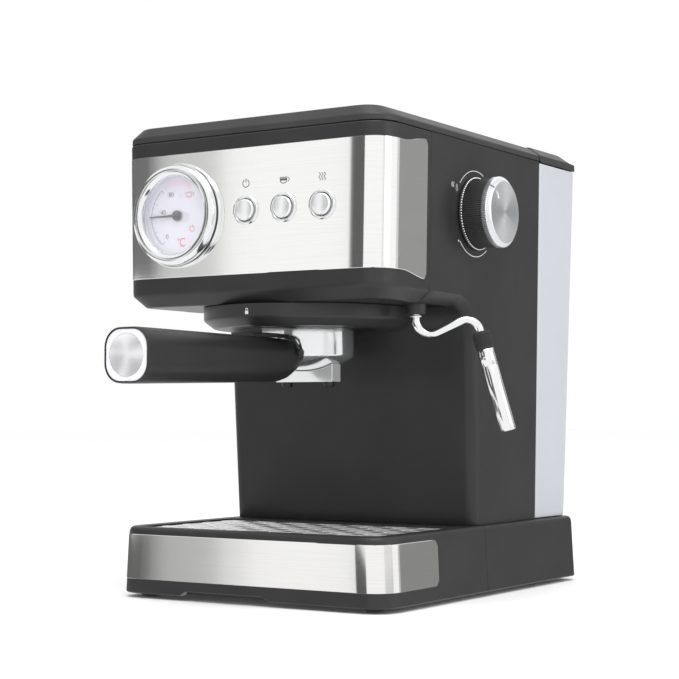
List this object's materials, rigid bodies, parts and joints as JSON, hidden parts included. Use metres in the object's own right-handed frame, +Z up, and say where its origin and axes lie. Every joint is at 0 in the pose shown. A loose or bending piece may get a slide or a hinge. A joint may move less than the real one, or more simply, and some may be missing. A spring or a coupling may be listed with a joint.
{
  "type": "espresso machine",
  "caption": "Countertop pump espresso machine: steel-fronted head with dial and push keys, side steam knob and wand, bayonet filter holder, lift-out drip tray and rear water tank.",
  "frame": {"origin": "centre of the bounding box at the underside of the feet", "axes": "+Z up, +Y from the handle towards the back of the tank, +X towards the steam wand"},
  "size_m": [0.2643, 0.4176, 0.3314],
  "materials": {
    "black_plastic": "fine textured moulded plastic",
    "dark_plastic": "satin moulded plastic",
    "brushed_steel": "brushed lengthways",
    "fastener_steel": "plated",
    "rubber": "matt",
    "seal": "silicone",
    "cast_alloy": "as cast",
    "chrome": "polished",
    "knob_alloy": "spun and polished edge",
    "brass": "machined",
    "pump_plastic": "moulded coil block",
    "hose": "silicone hose",
    "board": "circuit board",
    "dial": "printed dial",
    "case_metal": "pressed can",
    "lens": "clear",
    "needle": "satin grey",
    "tank": "translucent tinted",
    "white_plastic": "moulded"
  },
  "bodies": {
    "machine": {"base_front": "black_plastic", "base_rear": "black_plastic", "base_plate": "dark_plastic", "feet": "rubber", "base_band": "brushed_steel", "body_shell": "black_plastic", "head_front": "black_plastic", "head_underside": "dark_plastic", "front_panel": "brushed_steel", "top_cover": "black_plastic", "group_collar": "dark_plastic", "group_head": "cast_alloy", "group_gasket": "seal", "shower_screen": "brushed_steel", "screen_screw": "fastener_steel", "boiler": "cast_alloy", "boiler_screws": "fastener_steel", "pump": "pump_plastic", "water_hoses": "hose", "steam_valve": "brass", "steam_pipe": "brass", "control_board": "board", "cord_inlet": "dark_plastic", "gauge_housing": "case_metal", "gauge_dial": "dial", "gauge_bezel": "chrome", "gauge_lens": "lens", "button_rings": "chrome", "spring_power": "fastener_steel", "spring_coffee": "fastener_steel", "spring_steam": "fastener_steel", "switch_board": "board", "knob_ring": "chrome", "wand_boss": "dark_plastic", "tank_spigot": "dark_plastic", "housing_screws": "fastener_steel"},
    "steam_knob": {"knob_body": "dark_plastic", "knob_cap": "knob_alloy", "valve_stem": "brass"},
    "gauge_pointer": {"gauge_needle": "needle"},
    "power_key": {"button_power": "chrome"},
    "coffee_key": {"button_coffee": "chrome"},
    "steam_key": {"button_steam": "chrome"},
    "steam_wand": {"wand_tube": "chrome", "wand_grip": "rubber", "wand_sleeve": "chrome"},
    "portafilter": {"portafilter_cup": "chrome", "filter_basket": "brushed_steel", "handle": "black_plastic", "handle_cap": "chrome", "handle_bolt": "fastener_steel", "spout": "chrome", "filter_clip": "dark_plastic"},
    "tray": {"drip_tray": "dark_plastic"},
    "grille": {"drip_grille": "brushed_steel"},
    "tank": {"water_tank": "tank", "valve_spring": "fastener_steel"},
    "lid": {"tank_lid": "black_plastic", "lid_pin": "fastener_steel"},
    "outlet_valve": {"tank_valve": "white_plastic"}
  },
  "joints": [
    {"name": "power_press", "type": "slide", "parent": "machine", "child": "power_key", "axis": [0, 1, 0], "range_m": [0, 0.002], "stiffness_N_per_m": 400, "deforming": ["spring_power"]},
    {"name": "coffee_press", "type": "slide", "parent": "machine", "child": "coffee_key", "axis": [0, 1, 0], "range_m": [0, 0.002], "stiffness_N_per_m": 400, "deforming": ["spring_coffee"]},
    {"name": "steam_press", "type": "slide", "parent": "machine", "child": "steam_key", "axis": [0, 1, 0], "range_m": [0, 0.002], "stiffness_N_per_m": 400, "deforming": ["spring_steam"]},
    {"name": "steam_knob_turn", "type": "hinge", "parent": "machine", "child": "steam_knob", "pos_m": [0.0791, 0.0436, 0.2691], "axis": [1, 0, 0], "range_deg": [0, 270]},
    {"name": "gauge_pointer_turn", "type": "hinge", "parent": "machine", "child": "gauge_pointer", "pos_m": [-0.0779, -0.0832, 0.2656], "axis": [0, 1, 0], "range_deg": [-45, 135]},
    {"name": "steam_wand_swivel", "type": "hinge", "parent": "machine", "child": "steam_wand", "pos_m": [0.0691, -0.0092, 0.2028], "axis": [0, 0, 1], "range_deg": [-80, 25]},
    {"name": "portafilter_lock", "type": "hinge", "parent": "machine", "child": "portafilter", "pos_m": [-0.0209, -0.0068, 0.1928], "axis": [0, 0, 1], "range_deg": [-50, 0]},
    {"name": "tray_lift", "type": "slide", "parent": "machine", "child": "tray", "axis": [0, 0, 1], "range_m": [0, 0.04]},
    {"name": "grille_lift", "type": "slide", "parent": "tray", "child": "grille", "axis": [0, 0, 1], "range_m": [0, 0.03]},
    {"name": "tank_lift", "type": "slide", "parent": "machine", "child": "tank", "axis": [0, 0, 1], "range_m": [0, 0.06]},
    {"name": "lid_open", "type": "hinge", "parent": "tank", "child": "lid", "pos_m": [-0.0209, 0.1504, 0.3266], "axis": [1, 0, 0], "range_deg": [0, 95]},
    {"name": "outlet_valve_lift", "type": "slide", "parent": "tank", "child": "outlet_valve", "axis": [0, 0, 1], "range_m": [0, 0.003], "stiffness_N_per_m": 60, "deforming": ["valve_spring"]}
  ]
}
